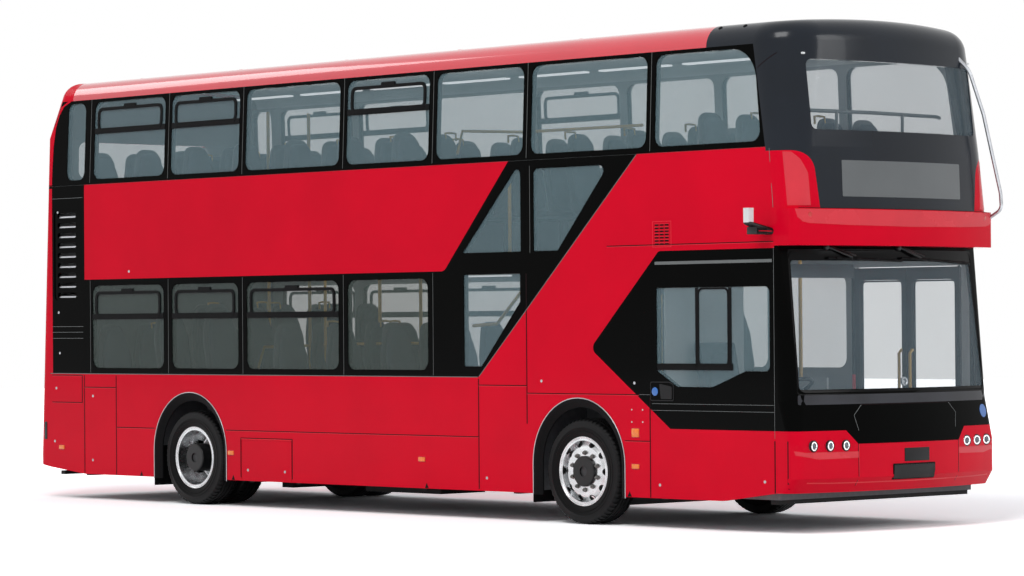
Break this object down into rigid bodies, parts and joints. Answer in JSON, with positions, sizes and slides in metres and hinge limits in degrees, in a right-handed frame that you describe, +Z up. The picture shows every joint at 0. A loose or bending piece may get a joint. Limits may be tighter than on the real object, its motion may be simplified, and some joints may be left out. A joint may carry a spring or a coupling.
{
  "type": "double decker bus",
  "caption": "Double decker city bus with a low floor, side doorways towards the kerb, a crowned roof and a rounded glazed front.",
  "frame": {"origin": "on the ground under the centre of the bus", "axes": "+X forward, +Y to the nearside, +Z up"},
  "size_m": [10.8509, 3.02, 4.3],
  "materials": {
    "red_paint": "gloss",
    "black_paint": "gloss",
    "pane": "tinted",
    "screen_glass": "clear",
    "floor_grey": "matte",
    "seat_fabric": "woven",
    "cab_grey": "matte",
    "rail_yellow": "gloss",
    "frame_black": "satin",
    "axle_iron": "satin",
    "rim_metal": "polished",
    "tyre_rubber": "matte",
    "lens_clear": "clear",
    "lens_red": "gloss",
    "lens_amber": "gloss",
    "socket_steel": "satin",
    "door_black": "gloss"
  },
  "bodies": {
    "body": {"offside_skirt": "red_paint", "nearside_skirt": "red_paint", "offside_lower_band": "black_paint", "nearside_lower_band": "black_paint", "red_side_panels": "red_paint", "upper_window_bands": "black_paint", "side_glass": "pane", "roof_panel": "red_paint", "rear_upper_panel": "red_paint", "rear_glass": "pane", "rear_lower_panel": "red_paint", "front_bumper": "red_paint", "windscreen_surround": "black_paint", "front_brow": "red_paint", "front_dome": "black_paint", "front_cheeks": "red_paint", "windscreens": "screen_glass", "lower_floor": "floor_grey", "upper_floor": "floor_grey", "staircase": "floor_grey", "saloon_seats": "seat_fabric", "driver_seat": "seat_fabric", "cab_partition": "cab_grey", "driver_controls": "cab_grey", "handrails": "rail_yellow", "chassis_frame": "frame_black", "battery_pack": "frame_black", "underfloor_boxes": "frame_black", "side_louvre": "black_paint", "front_axle": "axle_iron", "rear_axle": "axle_iron", "headlamps": "lens_clear", "rear_lamps": "lens_red", "side_markers": "lens_amber", "camera_arms": "black_paint", "branch_guard": "frame_black", "tow_sockets": "socket_steel"},
    "steering_offside": {"knuckle_offside": "axle_iron"},
    "steering_nearside": {"knuckle_nearside": "axle_iron"},
    "front_wheel_offside": {"front_wheel_offside": "rim_metal", "front_tyre_offside": "tyre_rubber"},
    "front_wheel_nearside": {"front_wheel_nearside": "rim_metal", "front_tyre_nearside": "tyre_rubber"},
    "rear_wheel_offside": {"rear_wheels_offside": "rim_metal", "rear_tyres_offside": "tyre_rubber"},
    "rear_wheel_nearside": {"rear_wheels_nearside": "rim_metal", "rear_tyres_nearside": "tyre_rubber"},
    "exit_rear_leaf": {"exit_leaf_rear": "door_black"},
    "exit_front_leaf": {"exit_leaf_front": "door_black"},
    "entrance_rear_leaf": {"entrance_leaf_rear": "door_black"},
    "entrance_front_leaf": {"entrance_leaf_front": "door_black"},
    "side_flap": {"side_flap": "red_paint"},
    "rear_cover": {"rear_cover": "red_paint"}
  },
  "joints": [
    {"name": "steer_offside", "type": "hinge", "parent": "body", "child": "steering_offside", "pos_m": [2.702, -0.985, 0.462], "axis": [0, 0, 1], "range_deg": [-40, 40]},
    {"name": "steer_nearside", "type": "hinge", "parent": "body", "child": "steering_nearside", "pos_m": [2.702, 0.985, 0.462], "axis": [0, 0, 1], "range_deg": [-40, 40]},
    {"name": "spin_front_offside", "type": "hinge", "parent": "steering_offside", "child": "front_wheel_offside", "pos_m": [2.702, -1.1025, 0.462], "axis": [0, 1, 0], "continuous": true},
    {"name": "spin_front_nearside", "type": "hinge", "parent": "steering_nearside", "child": "front_wheel_nearside", "pos_m": [2.702, 1.1025, 0.462], "axis": [0, 1, 0], "continuous": true},
    {"name": "spin_rear_offside", "type": "hinge", "parent": "body", "child": "rear_wheel_offside", "pos_m": [-2.808, -0.9475, 0.462], "axis": [0, 1, 0], "continuous": true},
    {"name": "spin_rear_nearside", "type": "hinge", "parent": "body", "child": "rear_wheel_nearside", "pos_m": [-2.808, 0.9475, 0.462], "axis": [0, 1, 0], "continuous": true},
    {"name": "exit_rear_door", "type": "hinge", "parent": "body", "child": "exit_rear_leaf", "pos_m": [0.61, 1.245, 1.283], "axis": [0, 0, -1], "range_deg": [0, 88]},
    {"name": "exit_front_door", "type": "hinge", "parent": "body", "child": "exit_front_leaf", "pos_m": [1.75, 1.245, 1.283], "axis": [0, 0, 1], "range_deg": [0, 88]},
    {"name": "entrance_rear_door", "type": "hinge", "parent": "body", "child": "entrance_rear_leaf", "pos_m": [3.72, 1.245, 1.283], "axis": [0, 0, -1], "range_deg": [0, 88]},
    {"name": "entrance_front_door", "type": "hinge", "parent": "body", "child": "entrance_front_leaf", "pos_m": [4.9, 1.245, 1.283], "axis": [0, 0, 1], "range_deg": [0, 88]},
    {"name": "flap_hinge", "type": "hinge", "parent": "body", "child": "side_flap", "pos_m": [-1.62, -1.275, 0.656], "axis": [-1, 0, 0], "range_deg": [0, 100]},
    {"name": "cover_hinge", "type": "hinge", "parent": "body", "child": "rear_cover", "pos_m": [-5.3665, 0, 1.554], "axis": [0, 1, 0], "range_deg": [0, 80]}
  ],
  "couplings": [
    {"joint": "steer_nearside", "follows": "steer_offside", "ratio": 1}
  ]
}
